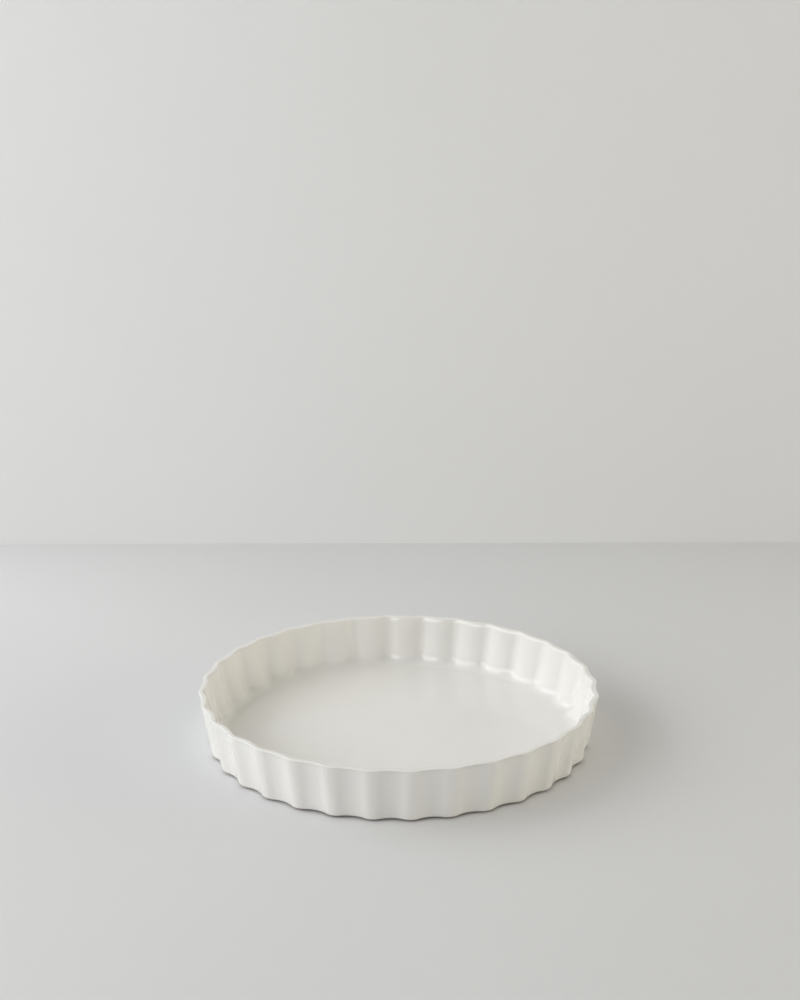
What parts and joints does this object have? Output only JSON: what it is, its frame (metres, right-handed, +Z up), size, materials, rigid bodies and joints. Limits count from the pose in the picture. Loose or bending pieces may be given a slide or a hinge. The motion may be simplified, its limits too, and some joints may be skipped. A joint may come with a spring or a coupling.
{
  "type": "quiche dish",
  "caption": "Round fluted quiche dish in white glazed stoneware, with a flared scalloped wall, a soft rounded lip and a bare foot ring.",
  "frame": {"origin": "middle of the foot ring's resting plane, at the bottom of the dish", "axes": "+Z up along the dish's round axis, out of the open top; +X through a flute ridge"},
  "size_m": [0.28, 0.28, 0.0385],
  "materials": {
    "bare_clay": "bare fired stoneware, matt and slightly gritty",
    "white_glaze": "warm white gloss glaze"
  },
  "bodies": {
    "root": {"clay_body": "bare_clay", "glaze_coat": "white_glaze", "underside_glaze": "white_glaze"}
  },
  "joints": []
}
